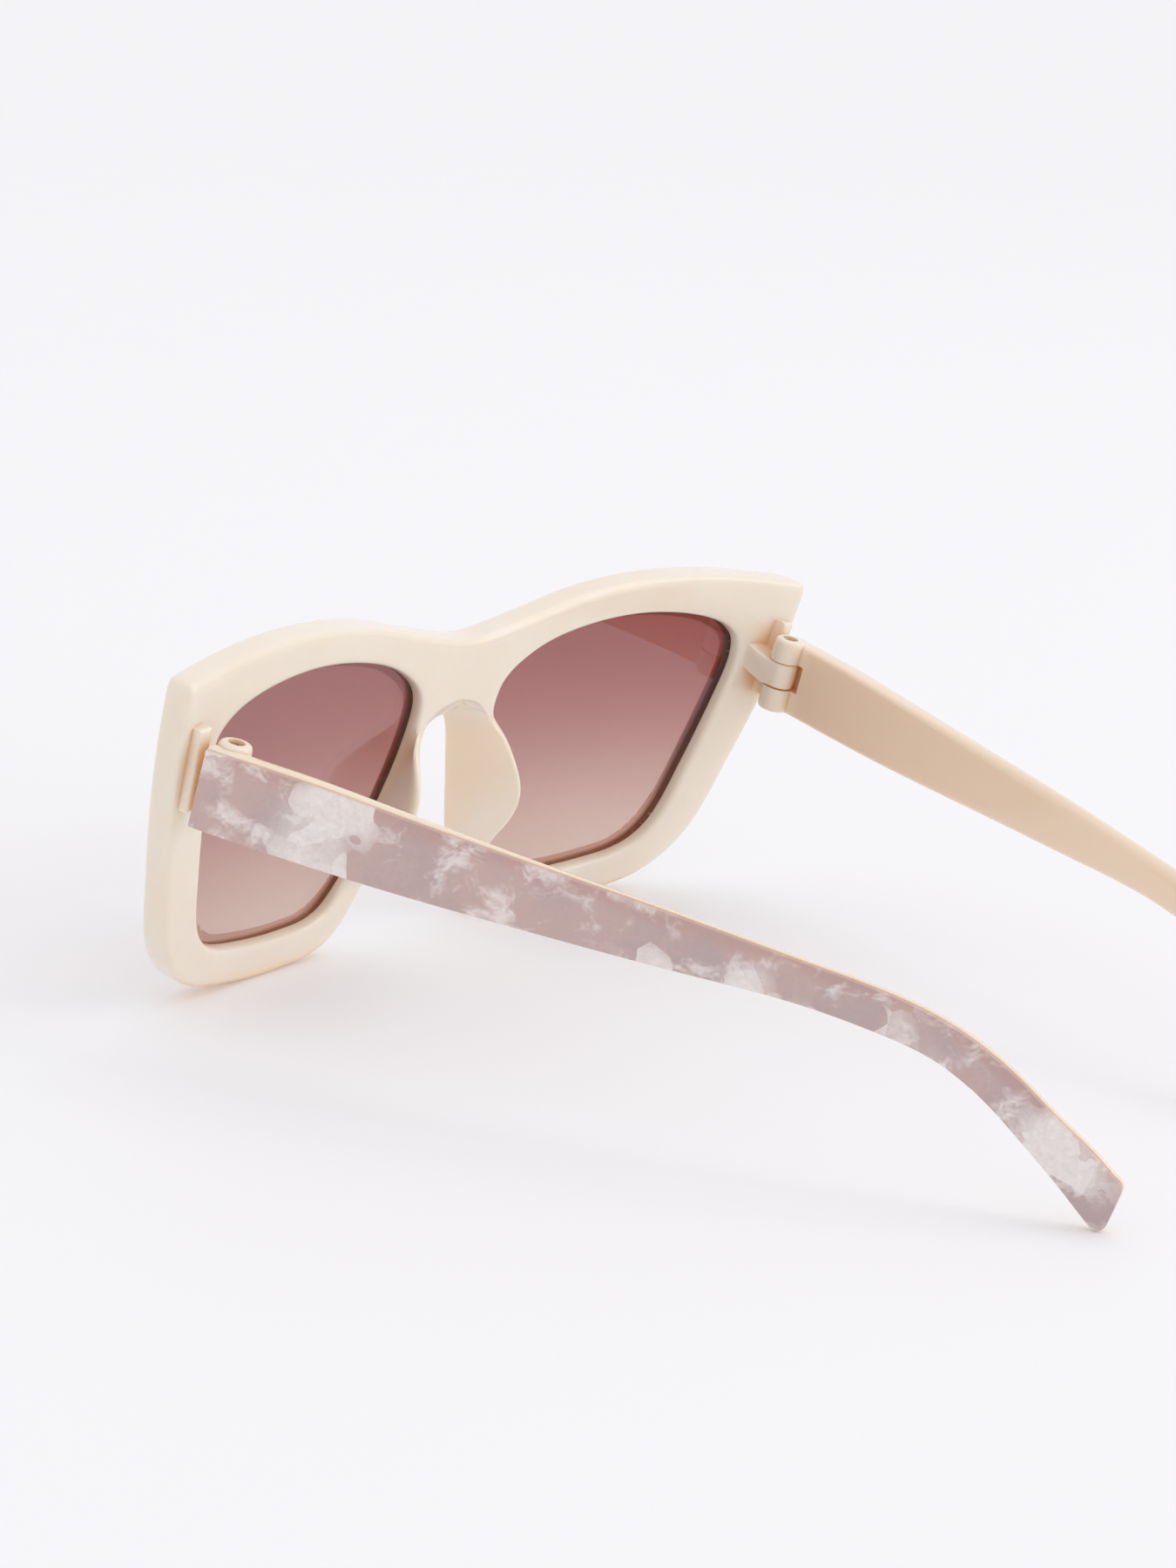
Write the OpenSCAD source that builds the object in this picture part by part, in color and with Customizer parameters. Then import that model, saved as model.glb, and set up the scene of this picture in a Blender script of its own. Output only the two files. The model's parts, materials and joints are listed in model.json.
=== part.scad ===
// Cat eye sunglasses with a wrapped front, moulded nose pads and folding temples
// Millimetres, +Z up, +X the wearer's left, the front faces -Y and the temples run toward +Y.
// The shape is drawn in a frame where the front stands upright, with the bridge top at the
// origin, and is then leaned back until the rims and the temple tips rest on the table.

/* [Front] */
// Width across the two upswept tips
front_width = 145; // [140:1:150]
// Height from the brow line to the rim bottoms
front_height = 51.8; // [49:0.5:55]
// Thickness from front face to back face
front_thick = 4.4; // [4.2:0.1:5]
// Radius of the wrap around the face
wrap_radius = 322; // [280:10:400]
// Rounding of the outer back edge
back_round = 1; // [0.8:0.1:1.2]
// Rounding of the outer front edge
front_round = 0.7; // [0.5:0.1:0.9]

/* [Lenses] */
// Thickness of the moulded lens
lens_thick = 1.9; // [1.7:0.1:2]
// How far the lens edge sits inside the rim
lens_tuck = 0.72; // [0.6:0.02:0.8]
// Play between the lens and its groove on every side
lens_play = 0.05; // [0.04:0.01:0.08]

/* [Nose pads] */
// How far the moulded pads reach behind the rims
pad_reach = 5.4; // [4.8:0.1:6]

/* [Temples] */
// Distance from the hinge pin to the tip
temple_reach = 123; // [120:1:124]
// Height of the temple beside the hinge
temple_root = 11; // [10.4:0.2:11.4]
// Thickness of the moulded temple without its film
temple_thick = 3.1; // [2.9:0.1:3.4]
// How much thinner the temple is from its middle to the tip
temple_slim = 1; // [0.6:0.1:1.2]
// Inward bow of the temple at the tip
temple_bow = 5; // [3:0.5:6]
// Angle by which each temple toes in at rest
toe_in = 16; // [14:1:18]
// Thickness of the patterned outer film
film_thick = 0.4; // [0.3:0.05:0.5]

/* [Hinges] */
// Diameter of the moulded hinge barrels
barrel_d = 4.6; // [4.4:0.1:4.8]
// Height of the middle barrel on the front
barrel_h = 4; // [3.8:0.1:4.2]
// Gap between neighbouring barrels
barrel_gap = 0.1; // [0.08:0.01:0.15]
// Shank diameter of the hinge screw
screw_d = 1.3; // [1.2:0.05:1.4]
// Radial play of the screw in the front's barrel
screw_play = 0.05; // [0.04:0.01:0.08]

/* [Hidden] */
cream = [0.92, 0.87, 0.80];
tint = [0.42, 0.20, 0.21, 0.6];
marble = [0.70, 0.63, 0.65];
steel = [0.62, 0.62, 0.63];

// Outlines are drawn for a 145 x 51.8 front and follow the two driving sizes
sx = front_width / 145;
sz = front_height / 51.8;
function fit_front(p) = [for (q = p) [q[0] * sx, q[1] * sz]];

// Lens opening of the wearer's left side, seen from behind, once around
opening = fit_front([[9.7, -7.6], [16.4, -2.8], [27, -0.1], [39.4, 0.9], [51.5, -0.1],
                     [59.3, -2.6], [61.8, -6.9], [60.3, -14.8], [57.4, -24.7], [54.2, -33.1],
                     [48.9, -37.3], [39.9, -39], [30.1, -39.6], [21.3, -38.6], [15.9, -32.3],
                     [12.3, -23.8], [9.7, -15.2]]);
turns = len(opening);

// Outer outline in two runs that meet at the upswept tip; each knot names the opening point beside it
at_bridge = 0.45;
at_tip = 5.35;
at_arch = 16.9;
brow = fit_front([[0, 0], [13.2, 2.3], [26, 5.1], [39.5, 6.5], [53.4, 6.5], [66.6, 5.4], [72.74, 4.7]]);
brow_knots = [at_bridge, 1, 2, 3, 4, 5, at_tip];
rim = fit_front([[72.74, 4.7], [72, -2.6], [69.7, -13.3], [66, -24.6], [61.6, -35.4], [53.4, -42],
                 [41.5, -44.5], [30, -45.2], [18.4, -43.6], [10.8, -33.4], [6.9, -23.6],
                 [3.8, -15.4], [2.1, -12.9], [0, -11.7]]);
rim_knots = [at_tip, 6, 7, 8, 9, 10, 11, 12, 13, 14, 15, 16, 16.45, at_arch];
// Back edge of the nose arch, wider than the front edge, which runs on as the crest of the pads
at_crest = 13;
crest = fit_front([[18.4, -43.6], [14.2, -39.2], [13.6, -33.2], [13.4, -28.3], [12, -23.8], [10.8, -19.4],
                   [9.6, -15.3], [7.9, -13.2], [5.3, -11.3], [2.6, -10.1], [0, -9.8]]);
crest_knots = [at_crest, 13.5, 14, 14.5, 15, 15.5, 16, 16.3, 16.55, 16.75, at_arch];

// Cubic curve through points p at knots k with tangents m
function span(k, t, i = 0) = (i >= len(k) - 2 || t < k[i + 1]) ? i : span(k, t, i + 1);
function cubic(a, b, ma, mb, h, u) =
    (2 * u * u * u - 3 * u * u + 1) * a + (u * u * u - 2 * u * u + u) * h * ma
    + (3 * u * u - 2 * u * u * u) * b + (u * u * u - u * u) * h * mb;
function along(p, k, m, t) =
    let (i = span(k, t), h = k[i + 1] - k[i])
    cubic(p[i], p[i + 1], m[i], m[i + 1], h, (t - k[i]) / h);
function tangents(p, k, first, last) =
    [for (i = [0 : len(p) - 1])
        i == 0 ? first : i == len(p) - 1 ? last : (p[i + 1] - p[i - 1]) / (k[i + 1] - k[i - 1])];

loop = concat(opening, [opening[0]]);
loop_knots = [for (i = [0 : turns]) i];
seam = (opening[1] - opening[turns - 1]) / 2;
loop_m = tangents(loop, loop_knots, seam, seam);
brow_m = tangents(brow, brow_knots, [14 * sx, 0], (brow[6] - brow[5]) / (at_tip - 5));
rim_m = tangents(rim, rim_knots, (rim[1] - rim[0]) / (6 - at_tip), [-5.5 * sx, 0]);
crest_m = tangents(crest, crest_knots, rim_m[8], [-17 * sx, 0]);
function lens_edge(t) = along(loop, loop_knots, loop_m, t >= turns ? t - turns : t);
// The tips are rounded between two stations by a curve that leans on the corner
tip_from = at_tip - 0.1;
tip_to = at_tip + 0.16;
function sharp_edge(t) = t <= at_tip ? along(brow, brow_knots, brow_m, t) : along(rim, rim_knots, rim_m, t);
function bend(a, b, c, u) = (1 - u) * (1 - u) * a + 2 * u * (1 - u) * b + u * u * c;
function outer_edge(t) =
    t <= tip_from || t >= tip_to ? sharp_edge(t)
    : bend(sharp_edge(tip_from), sharp_edge(at_tip), sharp_edge(tip_to),
           (t - tip_from) / (tip_to - tip_from));
function back_edge(t) = t <= at_crest ? outer_edge(t) : along(crest, crest_knots, crest_m, t);

// Stations around one rim: the brow, the rim, the nose side with its pad, then the bridge
brow_steps = 21;
tip_steps = 4;
rim_steps = 28;
nose_steps = 24;
bridge_steps = 5;
function steps(from, to, n) = [for (i = [0 : n - 1]) from + (to - from) * i / n];
stations = concat(steps(at_bridge, tip_from, brow_steps), steps(tip_from, tip_to, tip_steps),
                  steps(tip_to, at_crest, rim_steps), steps(at_crest, at_arch, nose_steps),
                  steps(at_arch, turns + at_bridge, bridge_steps));
rounds = len(stations);
arch_at = brow_steps + tip_steps + rim_steps + nose_steps;
function on_bridge(i) = i > arch_at;
function unit(v) = v / norm(v);

bridge_low = crest[10][1] + back_round;
bridge_high = -back_round;
function outer_at(i) =
    on_bridge(i) ? [0, bridge_low + (bridge_high - bridge_low) * (i - arch_at) / bridge_steps]
                 : outer_edge(stations[i]);
function left_of(a, b) = let (s = unit(b - a)) [s[1], -s[0]];
function inward(i) =
    i == 0 ? [0, -1]
    : i == arch_at ? [0, 1]
    : on_bridge(i) ? [1, 0]
    : left_of(outer_edge(stations[i] - 0.01), outer_edge(stations[i] + 0.01));
function inward_back(i) =
    i == arch_at ? [0, 1]
    : i > arch_at || stations[i] <= at_crest ? inward(i)
    : left_of(back_edge(stations[i] - 0.01), back_edge(stations[i] + 0.01));

// Wrap of the front around the face
function back_y(x) = wrap_radius - sqrt(wrap_radius * wrap_radius - x * x);

// Moulded nose pad: the nasal side of each rim rises to a rounded crest beside the lens,
// and its inner face slopes from the crest to the front edge of the arch
pad_from = 13.6;
pad_peak = 15.15;
pad_to = 16.6;
crest_wide = 1.4;
function ease(u) = u <= 0 ? 0 : u >= 1 ? 1 : u * u * (3 - 2 * u);
function pad(t) = pad_reach * min(ease((t - pad_from) / (pad_peak - pad_from)),
                                  ease((pad_to - t) / (pad_to - pad_peak)));
function pad_share(t) = min(ease((t - pad_from + 0.2) / 0.6), ease((pad_to - 0.1 - t) / 0.35));

// Lens groove measured from the back face
groove_back = 1.75;
groove_front = groove_back + lens_thick + 2 * lens_play;
groove_deep = lens_tuck + lens_play;
lip_round = 0.75;

// One section of the rim: [place in the front view, depth] pairs from the lens groove around the back
function section(i) =
    let (t = stations[i], c = on_bridge(i), a = lens_edge(t), b = outer_at(i), r = c ? b : back_edge(t),
         e = unit(b - a), w = max(1.5, (r - a) * e), n = inward(i), m = inward_back(i),
         h = pad(t), f = c ? 0 : pad_share(t),
         k = min(back_round, 0.25 * w), lip = min(lip_round, 0.28 * w),
         foot = concat(b, front_round - front_thick), top = concat(r, 0.8 * h),
         plain = [concat(a + 0.22 * e, -0.22), concat(a + lip * e, 0), concat(a + 0.36 * w * e, 0),
                  concat(a + 0.48 * w * e, 0), concat(a + 0.6 * w * e, 0), concat(a + 0.72 * w * e, 0),
                  concat(c ? b : r + k * m, 0), concat(r + 0.3 * k * m, -0.3 * k),
                  concat(r + (b - r) * k / (front_thick - front_round), -k)],
         padded = [concat((a + r - crest_wide * e) / 2, 0.36 * h), concat(r - crest_wide * e, 0.78 * h),
                   concat(r - 0.86 * crest_wide * e, 0.94 * h), concat(r - 0.6 * crest_wide * e, h),
                   concat(r - 0.36 * crest_wide * e, h), concat(r - 0.14 * crest_wide * e, 0.94 * h),
                   top, foot + 0.66 * (top - foot), foot + 0.33 * (top - foot)],
         flat = concat(
             [concat(a, -groove_back), concat(a, -lip_round)],
             [for (j = [0 : 8]) plain[j] * (1 - f) + padded[j] * f],
             [foot, concat(b + 0.3 * front_round * n, 0.3 * front_round - front_thick),
              concat(c ? b : b + front_round * n, -front_thick), concat(a + 0.5 * e, -front_thick),
              concat(a, 0.25 - front_thick), concat(a, -groove_front),
              concat(a + groove_deep * e, -groove_front), concat(a + groove_deep * e, -groove_back)]))
    [for (q = flat) [q[0], back_y(q[0]) + q[2], q[1]]];
ring = 19;
wall_from = 8;
wall_to = 13;
half_points = [for (i = [0 : rounds - 1]) each section(i)];
function mirrored(p) = [for (q = p) [-q[0], q[1], q[2]]];

// The halves share every point on the centre plane, so the bridge closes without a seam
function shared(i, k) = (on_bridge(i) && (k == wall_from || k == wall_to))
    || ((i == 0 || i == arch_at) && k >= wall_from && k <= wall_to);
function corner(side, i, k) = i * ring + k + (side == 1 && !shared(i, k) ? rounds * ring : 0);
half_faces = [for (side = [0, 1]) for (i = [0 : rounds - 1]) for (k = [0 : ring - 1])
    if (!(i >= arch_at && k >= wall_from && k < wall_to))
    let (j = (i + 1) % rounds, l = (k + 1) % ring,
         a = corner(side, i, k), b = corner(side, i, l), c = corner(side, j, l), d = corner(side, j, k))
    each side == 0 ? [[a, c, b], [a, d, c]] : [[a, b, c], [a, c, d]]];

// Hinge pin of the wearer's left side and the barrels on it
hinge_x = front_width / 2 - 6.94;
hinge_y = back_y(hinge_x) + 4.87;
barrel_r = barrel_d / 2;
barrel_top = -2.1;
upper_low = -5.6;
middle_top = upper_low - barrel_gap;
middle_low = middle_top - barrel_h;
lower_top = middle_low - barrel_gap;
barrel_low = -13.5;
pin_r = screw_d / 2;
head_r = pin_r + 0.45;
head_h = 0.7;
head_sink = 0.5;
slot_wide = 0.3;
slot_deep = 0.3;
screw_end = 0.4;
thread_play = 0.02;

// Upright stop rib on the front, outside the barrels, that the open temple butts against;
// it leans outward like the rim beside it
base_gap = 0.17;
base_root = 1.4;
base_y = hinge_y - barrel_r - base_gap;
rib_x = hinge_x + 2.6;
rib_z = -6.8;
rib_wide = 2.5;
rib_high = 11.6;
rib_lean = 6;
// Small bevels of the moulded hinge edges
rib_bevel = 0.35;
lug_bevel = 0.25;
// Climb of the arm per millimetre from the barrel to the front
lug_climb = 0.36;
barrel_bevel = 0.4;

// Temple, drawn with the hinge pin on the Z axis, outward +X and backward +Y
temple_in = 0.85;
temple_out = temple_in + temple_thick;
butt_y = -2.2;
fillet = 0.9;
land = 0.2;
film_bevel = 0.1;
// Clearances of the pocket that lets the front's barrel swing through the temple
pocket_play = 0.25;
pocket_side = 0.15;
pocket_back = 3.4;
st = temple_reach / 123;
// Side view of the temple as [distance behind the pin, height, half the height of the section]
spine = [[butt_y, -8.2, temple_root / 2], [12 * st, -7.75, temple_root / 2], [26 * st, -7.42, 5.13],
         [42 * st, -6.8, 4.55], [60 * st, -6.02, 3.85], [77 * st, -5.38, 2.96], [89 * st, -5.51, 2.86],
         [97.5 * st, -6.6, 2.76], [105 * st, -9.41, 2.85], [112 * st, -13.45, 3.04],
         [117.3 * st, -16.59, 3.43], [121.7 * st, -19.59, 3.86]];
spine_knots = [for (i = [0 : len(spine) - 1]) i];
spine_end = len(spine) - 1;
spine_m = tangents(spine, spine_knots, [9, 0, 0], spine[spine_end] - spine[spine_end - 1]);
spine_step = 0.25;
tip_round = 1.4;
function spine_at(u) = along(spine, spine_knots, spine_m, u);
function spine_way(u) =
    let (a = spine_at(max(0, u - 0.02)), b = spine_at(min(spine_end, u + 0.02)))
    u == 0 ? [1, 0] : unit([b[0] - a[0], b[1] - a[1]]);
// The tip is cut off nearly upright
tip_way = unit([8, -1]);
function cut_way(u) =
    let (f = max(0, (u - spine_end + 2) / 2)) unit(spine_way(u) * (1 - f) + tip_way * f);
// Each entry is [centre y, centre z, half height, way y, way z]
cuts = concat(
    [for (u = [0 : spine_step : spine_end])
        let (q = spine_at(u), w = cut_way(u)) [q[0], q[1], q[2], w[0], w[1]]],
    [for (f = [0.35, 0.62, 0.82, 0.95, 1])
        let (q = spine[spine_end], d = f * tip_round)
        [q[0] + d * tip_way[0], q[1] + d * tip_way[1],
         q[2] - tip_round + sqrt(tip_round * tip_round - d * d), tip_way[0], tip_way[1]]]);
function bowed(y) = -temple_bow * pow(max(0, y) / temple_reach, 2);
function place(cut, q, t) = [t + bowed(cut[0]), cut[0] - q * cut[4], cut[1] + q * cut[3]];
function plate_ring(cut) =
    let (e = ease((cut[0] - 8) / 52), h = cut[2], o = temple_out, i = temple_in + temple_slim * e)
    let (r = fillet + 0.4 * e, c = 0.29 * r)
    [for (q = [[h - land, o], [h, o - land], [h, i + r], [h - c, i + c], [h - r, i],
               [r - h, i], [c - h, i + c], [-h, i + r], [-h, o - land], [land - h, o]])
        place(cut, q[0], q[1])];
function film_ring(cut) =
    let (h = cut[2], o = temple_out)
    [for (q = [[h - land, o], [land - h, o], [land + film_bevel - h, o + film_thick],
               [h - land - film_bevel, o + film_thick]])
        place(cut, q[0], q[1])];
// Skin over n rings of m points; swap splits each patch along its other diagonal
function loft_faces(n, m, swap = false) = concat(
    [[for (k = [m - 1 : -1 : 0]) k]],
    [for (i = [0 : n - 2]) for (k = [0 : m - 1])
        let (l = (k + 1) % m, a = i * m + k, b = i * m + l, c = (i + 1) * m + l, d = (i + 1) * m + k)
        each swap ? [[a, b, d], [b, c, d]] : [[a, b, c], [a, c, d]]],
    [[for (k = [0 : m - 1]) (n - 1) * m + k]]);

// Lean that brings the rim bottoms and the temple tips onto one table plane
function at_rest(p) = [for (q = p) [hinge_x + q[0] * cos(toe_in) - q[1] * sin(toe_in),
                                    hinge_y + q[0] * sin(toe_in) + q[1] * cos(toe_in), q[2]]];
temple_rest = at_rest([for (c = cuts) each plate_ring(c)]);
function low(p, lean) = min([for (q = p) q[2] * cos(lean) - q[1] * sin(lean)]);
function settle(lean, n) = n == 0 ? lean
    : settle(lean + (low(temple_rest, lean) - low(half_points, lean)) / temple_reach * 180 / PI, n - 1);
lean = settle(9, 6);
lift = -low(half_points, lean);
function depth(p) = [for (q = p) q[1] * cos(lean) + q[2] * sin(lean)];
middle_y = (min(depth(half_points)) + max(depth(temple_rest))) / 2;

module on_table() {
    translate([0, -middle_y, lift])
        rotate([-lean, 0, 0])
            children();
}

module both_ways(side) {
    if (side > 0) children();
    else mirror([1, 0, 0]) children();
}

module at_hinge(side) {
    on_table()
        both_ways(side)
            translate([hinge_x, hinge_y, 0])
                rotate([0, 0, toe_in])
                    children();
}

// Plan of a bar of width w that starts at y = from and ends at y = to with two bevelled corners
function bar_plan(w, from, to, c) =
    [[-w / 2, from], [w / 2, from], [w / 2, to - c], [w / 2 - c, to], [c - w / 2, to], [-w / 2, to - c]];

module stop_rib(root) {
    translate([rib_x, 0, rib_z]) rotate([0, rib_lean, 0]) intersection() {
        translate([0, 0, -rib_high / 2])
            linear_extrude(rib_high) polygon(bar_plan(rib_wide, root, base_y, rib_bevel));
        translate([rib_wide / 2, 0, 0]) rotate([0, -90, 0])
            linear_extrude(rib_wide) polygon(bar_plan(rib_high, root, base_y, rib_bevel));
    }
}

// Barrel of height h standing on z = 0, bevelled by low and high at its ends
module barrel(h, low, high) {
    translate([0, 0, low]) cylinder(r = barrel_r, h = h - low - high, $fn = 64);
    if (low > 0) cylinder(r1 = barrel_r - low, r2 = barrel_r, h = low, $fn = 64);
    translate([0, 0, h - high]) cylinder(r1 = barrel_r, r2 = barrel_r - high, h = high, $fn = 64);
}

// Middle barrel on its arm, which climbs toward the front
module lug(root) {
    c = lug_bevel;
    r = barrel_r;
    function cut(y, rise) =
        [for (q = [[r, barrel_h - c], [r - c, barrel_h], [c - r, barrel_h], [-r, barrel_h - c],
                   [-r, c], [c - r, 0], [r - c, 0], [r, c]])
            [hinge_x + q[0], y, middle_low + rise + q[1]]];
    translate([hinge_x, hinge_y, middle_low]) barrel(barrel_h, c, c);
    polyhedron(concat(cut(root, lug_climb * (base_y - root)), cut(base_y, 0), cut(hinge_y, 0)),
               loft_faces(3, 8), convexity = 4);
}

// Stop rib and middle hinge barrel, moulded in one with the front
module hinge_lug() {
    root = back_y(hinge_x - barrel_r) - base_root;
    stop_rib(root);
    lug(root);
}

module front_frame() {
    color(cream) on_table() difference() {
        union() {
            polyhedron(concat(half_points, mirrored(half_points)), half_faces, convexity = 8);
            for (side = [1, -1]) both_ways(side) hinge_lug();
        }
        for (side = [1, -1]) both_ways(side)
            translate([hinge_x, hinge_y, middle_low - 1])
                cylinder(r = pin_r + screw_play, h = barrel_h + 2, $fn = 48);
    }
}

// Lens cut from a shell that follows the same wrap as the front
lens_outline = [for (i = [0 : rounds - 1])
    let (a = lens_edge(stations[i])) a + lens_tuck * unit(outer_at(i) - a)];
lens_back = -groove_back - lens_play;

module wrap_drum(y) {
    translate([0, wrap_radius + y, -60 * sz]) cylinder(r = wrap_radius, h = 80 * sz, $fn = 720);
}

module lens(side) {
    color(tint) on_table() both_ways(side) intersection() {
        translate([0, 30, 0]) rotate([90, 0, 0]) linear_extrude(60) polygon(lens_outline);
        difference() {
            wrap_drum(lens_back - lens_thick);
            wrap_drum(lens_back);
        }
    }
}
module lens_left() { lens(1); }
module lens_right() { lens(-1); }

// Temple arm with two hinge barrels, a pocket for the front's barrel and the screw holes
module temple(side) {
    color(cream) at_hinge(side) difference() {
        union() {
            polyhedron([for (c = cuts) each plate_ring(c)], loft_faces(len(cuts), 10), convexity = 6);
            translate([0, 0, upper_low]) barrel(barrel_top - upper_low, 0, barrel_bevel);
            translate([0, 0, lower_top]) mirror([0, 0, 1]) barrel(lower_top - barrel_low, 0, barrel_bevel);
        }
        translate([0, 0, lower_top]) {
            cylinder(r = barrel_r + pocket_play, h = upper_low - lower_top, $fn = 64);
            translate([-4, -4, 0])
                cube([4 + barrel_r + pocket_side, 4 + pocket_back, upper_low - lower_top]);
        }
        translate([0, 0, upper_low - 1]) cylinder(r = pin_r + screw_play, h = 8, $fn = 48);
        translate([0, 0, barrel_top - head_sink - head_h - screw_play])
            cylinder(r = head_r + screw_play, h = 4, $fn = 48);
        translate([0, 0, barrel_low - 1]) cylinder(r = pin_r + thread_play, h = 8, $fn = 48);
    }
}
module temple_left() { temple(1); }
module temple_right() { temple(-1); }

// Patterned film bonded to the flat outer land of the temple
module film(side) {
    color(marble) at_hinge(side)
        polyhedron([for (c = cuts) each film_ring(c)], loft_faces(len(cuts), 4, true), convexity = 6);
}
module film_left() { film(1); }
module film_right() { film(-1); }

// Slotted hinge screw, sunk below the top of the upper barrel
module screw(side) {
    under_head = barrel_top - head_sink - head_h;
    color(steel) at_hinge(side) difference() {
        union() {
            translate([0, 0, under_head]) cylinder(r = head_r, h = head_h, $fn = 48);
            translate([0, 0, barrel_low + screw_end])
                cylinder(r = pin_r, h = under_head - barrel_low, $fn = 48);
        }
        translate([-2, -slot_wide / 2, under_head + head_h - slot_deep]) cube([4, slot_wide, 1]);
    }
}
module screw_left() { screw(1); }
module screw_right() { screw(-1); }

front_frame();
lens_left();
lens_right();
temple_left();
temple_right();
film_left();
film_right();
screw_left();
screw_right();
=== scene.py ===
import json
import math

import bmesh
import bpy
from mathutils import Matrix, Vector


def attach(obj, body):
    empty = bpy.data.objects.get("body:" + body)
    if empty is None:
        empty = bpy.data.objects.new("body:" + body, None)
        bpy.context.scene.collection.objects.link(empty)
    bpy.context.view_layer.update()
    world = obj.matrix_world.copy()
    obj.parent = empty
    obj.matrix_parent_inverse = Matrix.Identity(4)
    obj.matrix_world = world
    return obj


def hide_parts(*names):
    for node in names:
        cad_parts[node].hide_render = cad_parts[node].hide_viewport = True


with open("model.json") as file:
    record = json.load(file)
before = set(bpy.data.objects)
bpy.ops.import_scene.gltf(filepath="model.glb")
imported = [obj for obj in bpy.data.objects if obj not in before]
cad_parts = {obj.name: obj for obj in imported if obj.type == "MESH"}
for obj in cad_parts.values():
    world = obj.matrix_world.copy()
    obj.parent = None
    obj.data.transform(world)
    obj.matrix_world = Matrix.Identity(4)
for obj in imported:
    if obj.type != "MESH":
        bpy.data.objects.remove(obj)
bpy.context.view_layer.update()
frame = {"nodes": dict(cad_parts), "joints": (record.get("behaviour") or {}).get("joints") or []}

mm = 0.001
leftHinge = next(joint for joint in frame["joints"] if joint["child"] == "left_arm")
upright = Vector(leftHinge["axis"])  # the hinge pins stand along the front's own upright
rearward = Vector((0.0, upright.z, -upright.y))  # from the front face to the back face
bridge = [vertex.co for vertex in frame["nodes"]["front_frame"].data.vertices if abs(vertex.co.x) < mm]
backFace = max(rearward.dot(point) for point in bridge)  # the front's back at the bridge
archLevel = min(upright.dot(point) for point in bridge)  # the underside of the nose arch
print("frame loaded:", ", ".join(sorted(frame["nodes"])))


# camera where the photograph was taken from, behind and to the wearer's left
cameraSpec = {
    "at": (0.49939, 0.2951, 0.16978),
    "right": (-0.570522, 0.813724, 0.111169),
    "back": (0.811495, 0.537699, 0.228816),
    "lens": 136.886,
    "sensor": 36.0,
    "near": 0.01,
    "far": 50.0,
}


def makeCamera(spec):
    back = Vector(spec["back"]).normalized()
    right = Vector(spec["right"])
    right = (right - right.dot(back) * back).normalized()
    up = back.cross(right)
    data = bpy.data.cameras.new("photoCamera")
    data.sensor_fit = "HORIZONTAL"
    data.sensor_width = spec["sensor"]
    data.lens = spec["lens"]
    data.clip_start = spec["near"]
    data.clip_end = spec["far"]
    camera = bpy.data.objects.new("photoCamera", data)
    bpy.context.scene.collection.objects.link(camera)
    turn = Matrix((right, up, back)).transposed().to_4x4()
    camera.matrix_world = Matrix.Translation(spec["at"]) @ turn
    bpy.context.scene.camera = camera


makeCamera(cameraSpec)
print("camera set")


class Wire:  # a node socket that Python's own operators work on
    def __init__(self, tree, socket):
        self.tree = tree
        self.socket = socket

    def maths(self, operation, first, second):
        node = self.tree.nodes.new("ShaderNodeMath")
        node.operation = operation
        for slot, value in zip(node.inputs, (first, second)):
            if isinstance(value, Wire):
                self.tree.links.new(value.socket, slot)
            else:
                slot.default_value = value
        return Wire(self.tree, node.outputs[0])

    def __add__(self, other):
        return self.maths("ADD", self, other)

    def __radd__(self, other):
        return self.maths("ADD", other, self)

    def __sub__(self, other):
        return self.maths("SUBTRACT", self, other)

    def __rsub__(self, other):
        return self.maths("SUBTRACT", other, self)

    def __mul__(self, other):
        return self.maths("MULTIPLY", self, other)

    def __rmul__(self, other):
        return self.maths("MULTIPLY", other, self)

    def __truediv__(self, other):
        return self.maths("DIVIDE", self, other)

    def __rtruediv__(self, other):
        return self.maths("DIVIDE", other, self)


class Finish:  # one material and the nodes in it
    def __init__(self, name):
        self.material = bpy.data.materials.new(name)
        self.material.use_nodes = True
        self.tree = self.material.node_tree
        self.tree.nodes.clear()
        self.place = self.node("ShaderNodeTexCoord", out="Object")

    def node(self, kind, settings=None, values=None, out=0):
        item = self.tree.nodes.new(kind)
        for key, value in (settings or {}).items():
            if key == "stops":
                ramp = item.color_ramp
                while len(ramp.elements) < len(value):
                    ramp.elements.new(0.5)
                for element, (where, colour) in zip(ramp.elements, value):
                    element.position = where
                    element.color = colour
            elif key == "ease":
                item.color_ramp.interpolation = value
            else:
                setattr(item, key, value)
        for key, value in (values or {}).items():
            socket = item.inputs[key]
            if isinstance(value, Wire):
                self.tree.links.new(value.socket, socket)
            else:
                socket.default_value = value
        return Wire(self.tree, item.outputs[out]) if item.outputs else None

    def blend(self, factor, first, second):
        return self.node("ShaderNodeMix", {"data_type": "RGBA"}, {0: factor, 6: first, 7: second}, 2)

    def step(self, value, limits):  # 0 below the first limit, 1 above the second, smooth between
        low, high = limits
        return self.node(
            "ShaderNodeMapRange",
            {"interpolation_type": "SMOOTHSTEP"},
            {"Value": value, "From Min": low, "From Max": high},
        )

    def noise(self, where, grain, out=0):
        return self.node("ShaderNodeTexNoise", {}, {"Vector": where, **grain}, out)

    def along(self, way):  # how far each place lies along a direction
        return self.node("ShaderNodeVectorMath", {"operation": "DOT_PRODUCT"}, {0: self.place, 1: way}, 1)

    def kept(self, label):  # a value that the piece's mesh carries
        return self.node("ShaderNodeAttribute", {"attribute_name": label}, out="Fac")

    def close(self, shader):
        self.node("ShaderNodeOutputMaterial", {}, {"Surface": shader})
        return self.material


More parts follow.
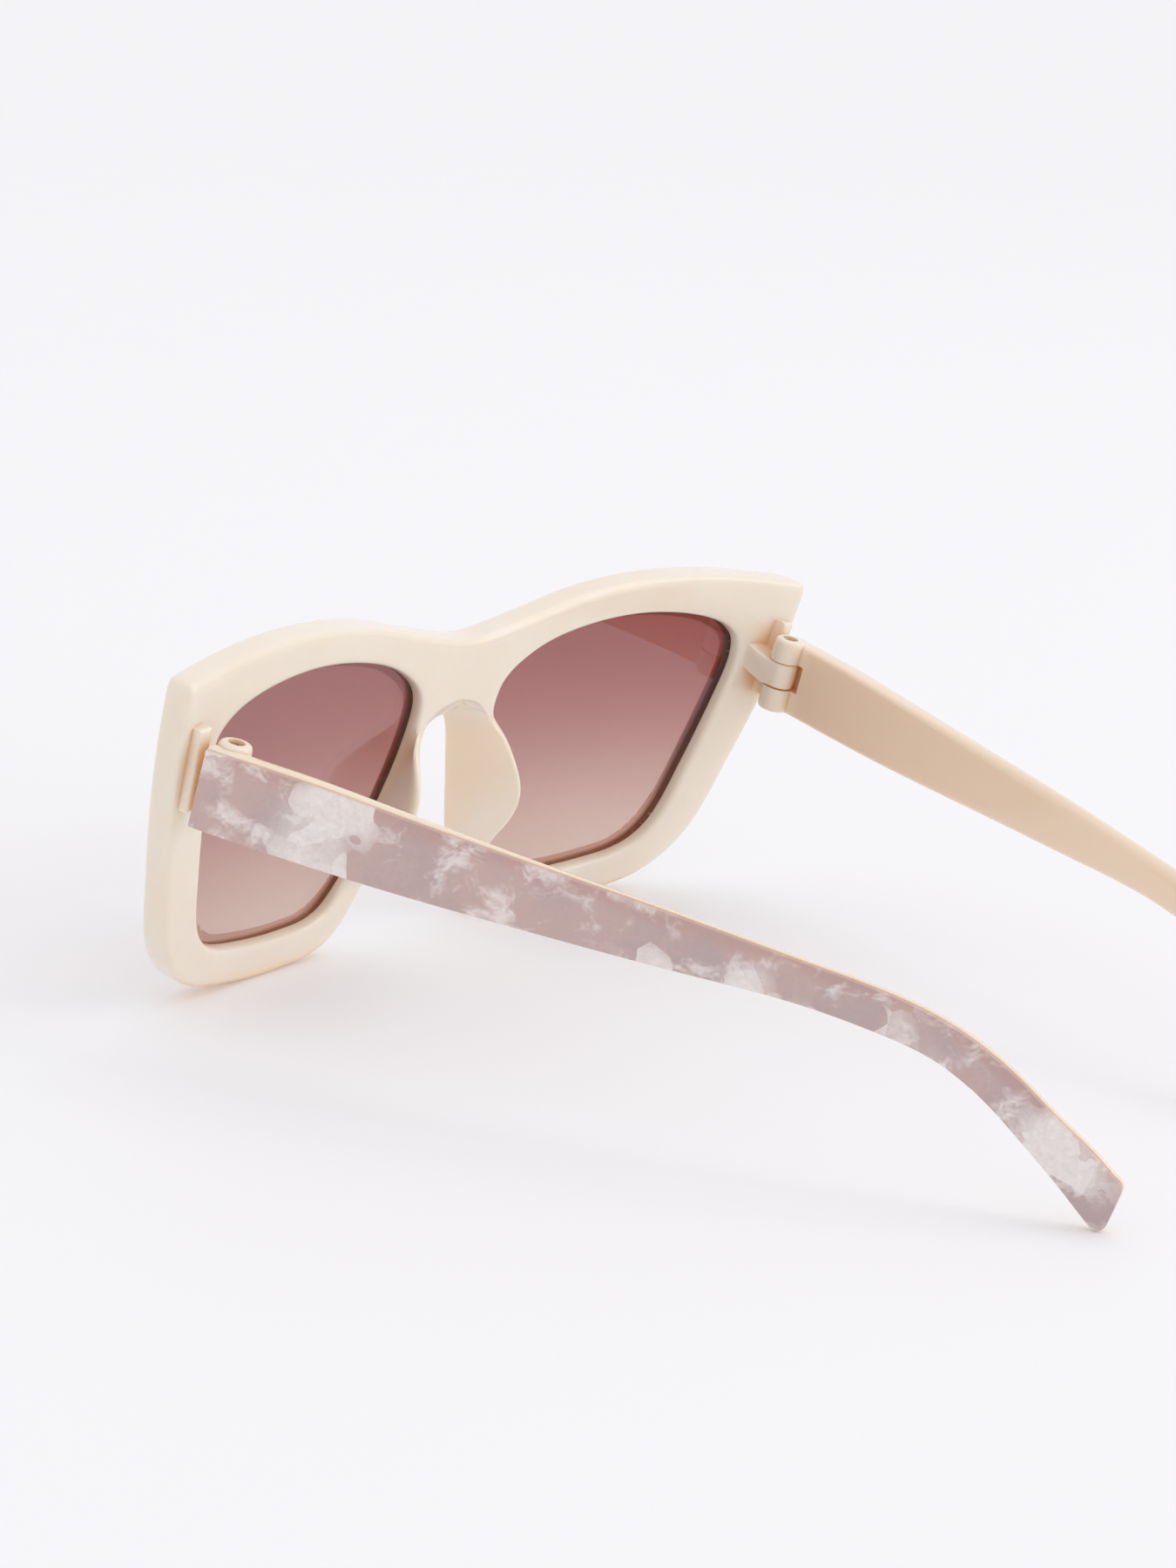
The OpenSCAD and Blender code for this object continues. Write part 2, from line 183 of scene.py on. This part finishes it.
def colour(red, green, blue):  # screen colour of 0 to 255 as the linear colour that nodes take
    def linear(value):
        share = value / 255
        return share / 12.92 if share <= 0.04045 else ((share + 0.055) / 1.055) ** 2.4
    return (linear(red), linear(green), linear(blue), 1.0)


dark = (0.0, 0.0, 0.0, 1.0)
middling = 0.5  # the value that a noise varies about

plasticLook = {
    "cream": colour(238, 228, 212),
    "warm": colour(237, 222, 200),
    "warmth": 0.6,
    "clouds": {"Scale": 60.0, "Detail": 3.0},
    "flow": {"Scale": 300.0, "Detail": 4.0},
    "flowShare": 0.25,
    "tone": (0.38, 0.66),
    # painted warm shade for the parts behind the front
    "paintedShadeBehind": colour(241, 218, 192),
    "paintedShadeBehindReach": (4.417, 10.417),  # millimetres behind the wrapped back face
    "wrapRadius": 322.0,
    "noseHalf": (8.0, 13.0),  # millimetres from the centre plane
    "noseDrop": (-1.0, 3.0),  # millimetres below the nose arch
    "noseShadeWeight": 0.3,
    # painted warm shade for the pads and the hollows
    "paintedWarmShade": colour(240, 200, 152),
    "hollowReach": 5.0,
    "hollowShade": (0.2, 0.85),
    "hollowShadeWeight": 0.9,
    "hollowSamples": 8,
    # painted glow in the hollows
    "paintedGlow": (0.035, 0.013, 0.004, 1.0),
    "paintedGlowOcclusion": (0.55, 1.0),
    "roughness": 0.2,
    "roughnessDrift": 0.1,
    "ripple": {"Scale": 110.0, "Detail": 1.0},
    "rippleStrength": 0.05,
    "rippleHeight": 0.1,
    "body": {
        "Emission Strength": 1.0,
        "IOR": 1.5,
        "Subsurface Weight": 0.35,
        "Subsurface Radius": (1.0, 0.72, 0.45),
        "Subsurface Scale": 1.8 * mm,
        "Coat Weight": 0.5,
        "Coat Roughness": 0.04,
    },
}


def creamPlastic(look):  # cream with painted warm shade behind the front, on the pads and in hollows, and a painted glow in hollows
    finish = Finish("creamPlastic")
    clouds = finish.noise(finish.place, look["clouds"])
    flow = finish.noise(finish.place, look["flow"])
    tone = finish.step(clouds * (1 - look["flowShare"]) + flow * look["flowShare"], look["tone"])
    base = finish.blend(tone * look["warmth"], look["cream"], look["warm"])
    across = finish.node("ShaderNodeSeparateXYZ", {}, {0: finish.place}) / mm
    behind = (finish.along(rearward) - backFace) / mm - across * across / (2 * look["wrapRadius"])
    # painted warm shade behind the front: the arms, hinges and pad crests come out warmer, as they look
    # in shade
    base = finish.blend(finish.step(behind, look["paintedShadeBehindReach"]), base, look["paintedShadeBehind"])
    # painted warm shade on the pads below the nose arch, which sit in shade and look warmer than the rims
    aside = finish.node("ShaderNodeMath", {"operation": "ABSOLUTE"}, {0: across})
    below = (archLevel - finish.along(upright)) / mm
    noseShade = (1 - finish.step(aside, look["noseHalf"])) * finish.step(below, look["noseDrop"])
    base = finish.blend(noseShade * look["noseShadeWeight"], base, look["paintedWarmShade"])
    # painted warm shade in hollows found by ambient occlusion: light that reaches a hollow has passed
    # through the plastic and comes out warmer
    clear = finish.node(
        "ShaderNodeAmbientOcclusion",
        {"samples": look["hollowSamples"]},
        {"Distance": look["hollowReach"] * mm},
        "AO",
    )
    paintedWarmShade = finish.step(1 - clear, look["hollowShade"])
    base = finish.blend(paintedWarmShade * look["hollowShadeWeight"], base, look["paintedWarmShade"])
    # painted glow: a faint emission in the same hollows, standing in for light passed through the plastic
    paintedGlow = finish.blend(finish.step(1 - clear, look["paintedGlowOcclusion"]), dark, look["paintedGlow"])
    ripple = finish.noise(finish.place, look["ripple"])
    relief = finish.node(
        "ShaderNodeBump",
        {},
        {"Strength": look["rippleStrength"], "Distance": look["rippleHeight"] * mm, "Height": ripple},
    )
    shader = finish.node(
        "ShaderNodeBsdfPrincipled",
        {"subsurface_method": "RANDOM_WALK"},
        {
            "Base Color": base,
            "Roughness": look["roughness"] + (flow - middling) * look["roughnessDrift"],
            "Normal": relief,
            "Emission Color": paintedGlow,
            **look["body"],
        },
    )
    return finish.close(shader)


lensLook = {
    "top": (0.29, 0.06, 0.06, 1.0),
    "middle": (0.44, 0.182, 0.163, 1.0),
    "foot": (0.76, 0.585, 0.495, 1.0),
    "stops": (0.06, 0.5, 0.95),
    "drift": {"Scale": 45.0, "Detail": 1.0},
    "dyeDrift": 0.03,
    # painted shade of the border near the ground edge
    "borderShadeTop": (0.11, 0.006, 0.005, 1.0),
    "borderShadeFoot": (0.38, 0.12, 0.07, 1.0),
    "borderRise": (0.05, 0.5),
    "borderEdge": (1.7, 1.9),  # millimetres in from the ground edge
    "borderDrift": 0.2,
    "smear": {"Scale": 180.0, "Detail": 2.0},
    "roughness": 0.02,
    "roughnessDrift": 0.02,
    "shade": (0.76, 0.67, 0.66, 1.0),
    "body": {"IOR": 1.6, "Transmission Weight": 1.0},
}


def lensShare(finish):  # 0 at the foot of the lens, 1 at its top
    levels = [upright.dot(vertex.co) for vertex in frame["nodes"]["lens_left"].data.vertices]
    return (finish.along(upright) - min(levels)) / (max(levels) - min(levels))


def tintedLens(look):
    finish = Finish("tintedLens")
    share = lensShare(finish)
    drift = finish.noise(finish.place, look["drift"])
    tints = zip(look["stops"], (look["foot"], look["middle"], look["top"]))
    dye = finish.node(
        "ShaderNodeValToRGB",
        {"stops": list(tints), "ease": "B_SPLINE"},
        {0: share + (drift - middling) * look["dyeDrift"]},
    )
    # painted shade: a dark border on the front surface near the ground edge, standing in for the shaded
    # groove wall seen through the lens
    gap = finish.kept("edgeGap") / mm + (drift - middling) * look["borderDrift"]
    borderShade = (1 - finish.step(gap, look["borderEdge"])) * finish.kept("frontSide")
    borderShadeTint = finish.blend(finish.step(share, look["borderRise"]), look["borderShadeFoot"], look["borderShadeTop"])
    dye = finish.blend(borderShade, dye, borderShadeTint)
    smear = finish.noise(finish.place, look["smear"])
    glass = finish.node(
        "ShaderNodeBsdfPrincipled",
        {},
        {
            "Base Color": dye,
            "Roughness": look["roughness"] + smear * look["roughnessDrift"],
            **look["body"],
        },
    )
    clear = finish.node("ShaderNodeBsdfTransparent", {}, {"Color": look["shade"]})
    lamp = finish.node("ShaderNodeLightPath", out="Is Shadow Ray")
    shader = finish.node("ShaderNodeMixShader", {}, {0: lamp, 1: glass, 2: clear})
    return finish.close(shader)


edgeLook = {
    "top": (0.28, 0.045, 0.035, 1.0),
    "foot": (0.50, 0.19, 0.115, 1.0),
    "rise": (0.05, 0.6),
    "grit": {"Scale": 2500.0, "Detail": 2.0},
    "gritDrift": 0.25,
    "roughness": 0.6,
    "roughnessDrift": 0.2,
    "body": {"IOR": 1.3},
}


def groundEdge(look):  # the matt edge of a lens, seen through the lens as a dark band
    finish = Finish("groundEdge")
    grit = finish.noise(finish.place, look["grit"])
    share = lensShare(finish) + (grit - middling) * look["gritDrift"]
    base = finish.blend(finish.step(share, look["rise"]), look["foot"], look["top"])
    rough = look["roughness"] + grit * look["roughnessDrift"]
    shader = finish.node(
        "ShaderNodeBsdfPrincipled", {}, {"Base Color": base, "Roughness": rough, **look["body"]}
    )
    return finish.close(shader)


marbleLook = {
    "mauve": colour(184, 163, 162),
    "rose": colour(200, 171, 163),
    "pearl": colour(247, 241, 236),
    "blush": colour(192, 150, 140),
    "edge": colour(196, 152, 136),
    "start": (77.0, -33.0, 15.0),  # which stretch of the endless print is used
    "wander": {"Scale": 0.22, "Detail": 1.5},
    "wanderReach": (4.0, 4.0, 4.0),
    "flake": 4.0,
    "patch": {"Scale": 0.075, "Detail": 1.0, "Roughness": 0.5},
    "flakeShare": 0.6,
    "shard": (0.52, 0.63),
    "shardCover": 0.9,
    "slant": (0.7, 0.2, 0.4),
    "trailStretch": (0.06, 0.17, 0.24),
    "trail": {"Scale": 1.0, "Detail": 3.0, "Roughness": 0.55},
    "streakStretch": (0.2, 1.3, 1.6),
    "streak": {"Scale": 1.0, "Detail": 2.0},
    "streakDrift": 0.2,
    "smear": (0.49, 0.7),
    "smearCover": 0.75,
    "mottle": {"Scale": 1.1, "Detail": 4.0, "Roughness": 0.7},
    "pearlCover": 0.35,
    "mottleCover": 0.55,
    "streakCover": 0.45,
    "hue": {"Scale": 0.07, "Detail": 3.0},
    "hueDrift": 0.35,
    "hueTurn": (0.36, 0.66),
    "blushReach": (0.0, 2.0),  # millimetres below the top edge
    "blushDrift": 5.0,
    "blushCover": 0.55,
    "edgeCover": 0.5,
    "roughness": 0.3,
    "mottleDull": 0.12,
    "pearlGloss": 0.06,
    "body": {"IOR": 1.5, "Coat Weight": 0.5, "Coat Roughness": 0.1},
}


def marbleFilm(look):
    finish = Finish("marbleFilm")
    scaled = {"operation": "MULTIPLY_ADD"}
    perMm = (1 / mm, 1 / mm, 1 / mm)
    size = finish.node("ShaderNodeVectorMath", scaled, {0: finish.place, 1: perMm, 2: look["start"]})
    wander = finish.noise(size, look["wander"], "Color")
    bent = finish.node("ShaderNodeVectorMath", scaled, {0: wander, 1: look["wanderReach"], 2: size})
    # angular flakes of pearl: cells that take one value of a broad noise each
    cells = {"Vector": bent, "Scale": 1 / look["flake"], "Randomness": 1.0}
    heart = finish.node("ShaderNodeTexVoronoi", {}, cells, "Position")
    flake = finish.noise(heart, look["patch"])
    cloud = finish.noise(bent, look["patch"])
    shard = finish.step(flake * look["flakeShare"] + cloud * (1 - look["flakeShare"]), look["shard"])
    # soft smears drawn out along the slant of the print, and finer streaks in them
    slant = {"Vector": bent, "Rotation": look["slant"]}
    lay = finish.node("ShaderNodeMapping", {}, {**slant, "Scale": look["trailStretch"]})
    trail = finish.noise(lay, look["trail"])
    comb = finish.node("ShaderNodeMapping", {}, {**slant, "Scale": look["streakStretch"]})
    streak = finish.noise(comb, look["streak"])
    smear = finish.step(trail + (streak - middling) * look["streakDrift"], look["smear"])
    pale = finish.node(
        "ShaderNodeMath",
        {"operation": "MAXIMUM", "use_clamp": True},
        {0: shard * look["shardCover"], 1: smear * look["smearCover"]},
    )
    mottle = finish.noise(size, look["mottle"])
    pale = pale * (look["pearlCover"] + mottle * look["mottleCover"] + streak * look["streakCover"])
    hue = finish.noise(size, look["hue"]) + (mottle - middling) * look["hueDrift"]
    base = finish.blend(finish.step(hue, look["hueTurn"]), look["mauve"], look["rose"])
    gap = finish.kept("topGap") / mm + (cloud - middling) * look["blushDrift"]
    blush = (1 - finish.step(gap, look["blushReach"])) * look["blushCover"]
    base = finish.blend(blush, base, look["blush"])
    base = finish.blend(pale, base, look["pearl"])
    base = finish.blend(finish.kept("cutEdge") * look["edgeCover"], base, look["edge"])
    rough = look["roughness"] + (mottle - middling) * look["mottleDull"] - pale * look["pearlGloss"]
    shader = finish.node(
        "ShaderNodeBsdfPrincipled", {}, {"Base Color": base, "Roughness": rough, **look["body"]}
    )
    return finish.close(shader)


steelLook = {
    "steel": colour(216, 204, 186),
    "dull": colour(176, 160, 138),
    "stretch": (9000.0, 1200.0, 1200.0),
    "lines": {"Scale": 1.0, "Detail": 3.0},
    "bright": (0.35, 0.7),
    "roughness": 0.34,
    "roughnessDrift": 0.2,
    "body": {"Metallic": 1.0},
}


def screwSteel(look):
    finish = Finish("screwSteel")
    scratch = finish.node("ShaderNodeMapping", {}, {"Vector": finish.place, "Scale": look["stretch"]})
    lines = finish.noise(scratch, look["lines"])
    base = finish.blend(finish.step(lines, look["bright"]), look["dull"], look["steel"])
    rough = look["roughness"] + lines * look["roughnessDrift"]
    shader = finish.node(
        "ShaderNodeBsdfPrincipled", {}, {"Base Color": base, "Roughness": rough, **look["body"]}
    )
    return finish.close(shader)


finishes = {
    "cream_plastic": creamPlastic(plasticLook),
    "tinted_lens": tintedLens(lensLook),
    "marble_film": marbleFilm(marbleLook),
    "screw_steel": screwSteel(steelLook),
}
edgeFinish = groundEdge(edgeLook)
print("finishes made:", ", ".join(finishes))


class Tree:  # a geometry node group built step by step
    def __init__(self, name, sizes):
        self.group = bpy.data.node_groups.new(name, "GeometryNodeTree")
        self.keys = {}
        for label, kind in [("Geometry", "NodeSocketGeometry")] + list(sizes.items()):
            socket = self.group.interface.new_socket(label, in_out="INPUT", socket_type=kind)
            self.keys[label] = socket.identifier
        self.group.interface.new_socket("Geometry", in_out="OUTPUT", socket_type="NodeSocketGeometry")
        self.source = self.group.nodes.new("NodeGroupInput")

    def given(self, label):
        return self.source.outputs[label]

    def add(self, kind, settings=None, values=None, out=0):
        item = self.group.nodes.new(kind)
        for key, value in (settings or {}).items():
            setattr(item, key, value)
        for key, value in (values or {}).items():
            socket = item.inputs[key]
            if isinstance(value, bpy.types.NodeSocket):
                self.group.links.new(value, socket)
            else:
                socket.default_value = value
        return item.outputs[out]

    def compare(self, operation, first, second):
        return self.add("FunctionNodeCompare", {"operation": operation}, {0: first, 1: second})

    def facing(self, way):  # how squarely each face looks along a direction
        normal = self.add("GeometryNodeInputNormal")
        return self.add("ShaderNodeVectorMath", {"operation": "DOT_PRODUCT"}, {0: normal, 1: way}, 1)

    def gapTo(self, geometry, faces):  # distance of each point from some of the faces
        rail = self.add(
            "GeometryNodeSeparateGeometry", {"domain": "FACE"}, {"Geometry": geometry, "Selection": faces}
        )
        return self.add("GeometryNodeProximity", {"target_element": "FACES"}, {0: rail}, "Distance")

    def keep(self, geometry, label, domain, value):  # a value for the finish to read
        return self.add(
            "GeometryNodeStoreNamedAttribute",
            {"data_type": "FLOAT", "domain": domain},
            {"Geometry": geometry, "Name": label, "Value": value},
        )

    def close(self, geometry, edge=None):
        whole = self.add("GeometryNodeRealizeInstances", {}, {"Geometry": geometry})
        coat = {"Geometry": whole, "Material": self.given("Finish")}
        coated = self.add("GeometryNodeSetMaterial", {}, coat)
        if edge:
            coat = {"Geometry": coated, "Selection": edge, "Material": self.given("Edge")}
            coated = self.add("GeometryNodeSetMaterial", {}, coat)
        end = self.group.nodes.new("NodeGroupOutput")
        self.group.links.new(coated, end.inputs[0])


def grown(name, mesh, tree, sizes):  # runs a tree on a mesh and keeps the result as a plain mesh
    source = bpy.data.objects.new(name + "Source", mesh)
    bpy.context.scene.collection.objects.link(source)
    modifier = source.modifiers.new("grow", "NODES")
    modifier.node_group = tree.group
    for label, value in sizes.items():
        modifier[tree.keys[label]] = value
    graph = bpy.context.evaluated_depsgraph_get()
    result = bpy.data.meshes.new_from_object(source.evaluated_get(graph), depsgraph=graph)
    result.name = name
    bpy.data.objects.remove(source)
    piece = bpy.data.objects.new(name, result)
    bpy.context.scene.collection.objects.link(piece)
    return piece


# the moulded skin: soft fillets everywhere except along true corners
skinSpec = {
    "corner": math.radians(58),
    "shade": math.radians(38),
    "cut": 0.6,  # a face that looks less squarely than this along a direction is an edge face
    "lensCuts": 2,
    "weld": 0.002 * mm,
    "pairBend": math.radians(25),
    "pairShape": math.radians(60),
}
skinSizes = {
    "Corner": "NodeSocketFloat",
    "Shade": "NodeSocketFloat",
    "Level": "NodeSocketInt",
    "Finish": "NodeSocketMaterial",
}


def smoothSkin(tree):
    angle = tree.add("GeometryNodeInputMeshEdgeAngle")
    corner = tree.compare("GREATER_THAN", angle, tree.given("Corner"))
    smooth = tree.add(
        "GeometryNodeSubdivisionSurface",
        {},
        {"Mesh": tree.given("Geometry"), "Level": tree.given("Level"), "Edge Crease": corner},
    )
    bend = tree.add("GeometryNodeInputMeshEdgeAngle")
    hard = tree.compare("GREATER_THAN", bend, tree.given("Shade"))
    soft = tree.add("GeometryNodeSetShadeSmooth", {}, {"Geometry": smooth, "Shade Smooth": True})
    return tree.add(
        "GeometryNodeSetShadeSmooth",
        {"domain": "EDGE"},
        {"Geometry": soft, "Selection": hard, "Shade Smooth": False},
    )


def skinTree():
    tree = Tree("mouldedSkin", skinSizes)
    tree.close(smoothSkin(tree))
    return tree


def lensTree():  # the lens, its ground edge in a finish of its own
    tree = Tree("groundLens", {**skinSizes, "Rearward": "NodeSocketVector", "Edge": "NodeSocketMaterial"})
    cuts = {0: smoothSkin(tree), "Level": skinSpec["lensCuts"]}
    skin = tree.add("GeometryNodeSubdivideMesh", {}, cuts)
    along = tree.facing(tree.given("Rearward"))
    square = tree.add("ShaderNodeMath", {"operation": "ABSOLUTE"}, {0: along})
    edge = tree.compare("LESS_THAN", square, skinSpec["cut"])
    gap = tree.gapTo(skin, edge)
    skin = tree.keep(skin, "frontSide", "FACE", tree.compare("LESS_THAN", along, 0.0))
    skin = tree.keep(skin, "edgeGap", "POINT", gap)
    tree.close(skin, edge)
    return tree


def filmTree():  # the film, with its cut edge and the distance from its top edge kept for the print
    tree = Tree("printedFilm", {**skinSizes, "Outward": "NodeSocketVector", "Up": "NodeSocketVector"})
    skin = smoothSkin(tree)
    side = tree.compare("LESS_THAN", tree.facing(tree.given("Outward")), skinSpec["cut"])
    above = tree.compare("GREATER_THAN", tree.facing(tree.given("Up")), skinSpec["cut"])
    gap = tree.gapTo(skin, above)
    skin = tree.keep(skin, "cutEdge", "FACE", side)
    skin = tree.keep(skin, "topGap", "POINT", gap)
    tree.close(skin)
    return tree


mouldedSkin = skinTree()
groundLens = lensTree()
printedFilm = filmTree()


def mouldMesh(node):  # the node's triangles welded and paired into quads
    mesh = frame["nodes"][node].data.copy()
    shape = bmesh.new()
    shape.from_mesh(mesh)
    bmesh.ops.remove_doubles(shape, verts=shape.verts, dist=skinSpec["weld"])
    bmesh.ops.join_triangles(
        shape,
        faces=shape.faces,
        angle_face_threshold=skinSpec["pairBend"],
        angle_shape_threshold=skinSpec["pairShape"],
    )
    for face in shape.faces:
        face.smooth = True
    shape.to_mesh(mesh)
    shape.free()
    if mesh.has_custom_normals:
        mesh.attributes.remove(mesh.attributes["custom_normal"])
    return mesh


def outward(node):  # square to the flat outer side of a film
    mesh = frame["nodes"][node].data
    normal = max(mesh.polygons, key=lambda face: face.area).normal.copy()
    return normal if normal.x * mesh.vertices[0].co.x > 0 else -normal


makeSpec = {
    "moulding": {"slot": "cream_plastic", "tree": mouldedSkin, "level": 2},
    "lens": {"slot": "tinted_lens", "tree": groundLens, "level": 0},
    "film": {"slot": "marble_film", "tree": printedFilm, "level": 2},
    "screw": {"slot": "screw_steel", "tree": mouldedSkin, "level": 0},
}
pieceSpec = {
    "frontMoulding": {"node": "front_frame", "body": "front", "make": "moulding"},
    "lensLeft": {"node": "lens_left", "body": "front", "make": "lens"},
    "lensRight": {"node": "lens_right", "body": "front", "make": "lens"},
    "armLeft": {"node": "temple_left", "body": "left_arm", "make": "moulding"},
    "armRight": {"node": "temple_right", "body": "right_arm", "make": "moulding"},
    "filmLeft": {"node": "film_left", "body": "left_arm", "make": "film"},
    "filmRight": {"node": "film_right", "body": "right_arm", "make": "film"},
    "screwLeft": {"node": "screw_left", "body": "left_arm", "make": "screw"},
    "screwRight": {"node": "screw_right", "body": "right_arm", "make": "screw"},
}

for name, spec in pieceSpec.items():
    make = makeSpec[spec["make"]]
    sizes = {
        "Corner": skinSpec["corner"],
        "Shade": skinSpec["shade"],
        "Level": make["level"],
        "Finish": finishes[make["slot"]],
    }
    if spec["make"] == "lens":
        sizes.update({"Rearward": rearward, "Edge": edgeFinish})
    if spec["make"] == "film":
        sizes.update({"Outward": outward(spec["node"]), "Up": upright})
    piece = grown(name, mouldMesh(spec["node"]), make["tree"], sizes)
    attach(piece, spec["body"])
    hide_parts(spec["node"])
    print("piece made:", name, len(piece.data.polygons), "faces")


# plain pale table and the studio round it
studio = {
    "table": colour(223, 223, 224),
    "fleck": {"Scale": 30.0, "Detail": 2.0},
    "roughness": 0.6,
    "roughnessDrift": 0.1,
    "shine": 0.2,
    "lit": 0.18,
    "room": (0.93, 0.92, 0.945, 1.0),
    "fill": 0.93,
    "reach": 9.0,
}


def makeTable(spec):
    reach = spec["reach"]
    corners = [(-reach, -reach, 0), (reach, -reach, 0), (reach, reach, 0), (-reach, reach, 0)]
    mesh = bpy.data.meshes.new("table")
    mesh.from_pydata(corners, [], [(0, 1, 2, 3)])
    table = bpy.data.objects.new("table", mesh)
    bpy.context.scene.collection.objects.link(table)
    finish = Finish("paleTable")
    fleck = finish.noise(finish.place, spec["fleck"])
    shader = finish.node(
        "ShaderNodeBsdfPrincipled",
        {},
        {
            "Base Color": spec["table"],
            "Roughness": spec["roughness"] + fleck * spec["roughnessDrift"],
            "Specular IOR Level": spec["shine"],
            "Emission Color": spec["room"],
            "Emission Strength": spec["lit"],
        },
    )
    mesh.materials.append(finish.close(shader))


def makeRoom(spec):  # full strength where the room is seen or mirrored, the fill where it only lights
    world = bpy.data.worlds.new("studioRoom")
    world.use_nodes = True
    tree = world.node_tree
    tree.nodes.clear()
    path = tree.nodes.new("ShaderNodeLightPath")
    seen = Wire(tree, path.outputs["Is Camera Ray"]) + Wire(tree, path.outputs["Is Glossy Ray"])
    seen = seen + Wire(tree, path.outputs["Is Transmission Ray"])
    clamp = tree.nodes.new("ShaderNodeClamp")
    tree.links.new(seen.socket, clamp.inputs[0])
    level = Wire(tree, clamp.outputs[0]) * (1 - spec["fill"]) + spec["fill"]
    light = tree.nodes.new("ShaderNodeBackground")
    light.inputs["Color"].default_value = spec["room"]
    tree.links.new(level.socket, light.inputs["Strength"])
    out = tree.nodes.new("ShaderNodeOutputWorld")
    tree.links.new(light.outputs[0], out.inputs["Surface"])
    bpy.context.scene.world = world


lampSpec = {
    "sky": {"kind": "SUN", "at": (-0.5, 0.25, 1.25), "spread": math.radians(50), "power": 0.34},
    "softbox": {"kind": "AREA", "at": (-0.75, 1.0, 0.6), "spread": 0.9, "power": 2.4},
    "glint": {"kind": "AREA", "at": (-0.5, 0.9, 0.75), "spread": 0.1, "power": 0.5},
}


def makeLamp(name, spec):
    data = bpy.data.lights.new(name, spec["kind"])
    if spec["kind"] == "SUN":
        data.angle = spec["spread"]
    else:
        data.size = spec["spread"]
    data.energy = spec["power"]
    lamp = bpy.data.objects.new(name, data)
    lamp.location = spec["at"]
    lamp.rotation_euler = (-Vector(spec["at"])).to_track_quat("-Z", "Y").to_euler()
    bpy.context.scene.collection.objects.link(lamp)


makeTable(studio)
makeRoom(studio)
for name, spec in lampSpec.items():
    makeLamp(name, spec)
bpy.context.scene.view_settings.view_transform = "Standard"
print("studio set")
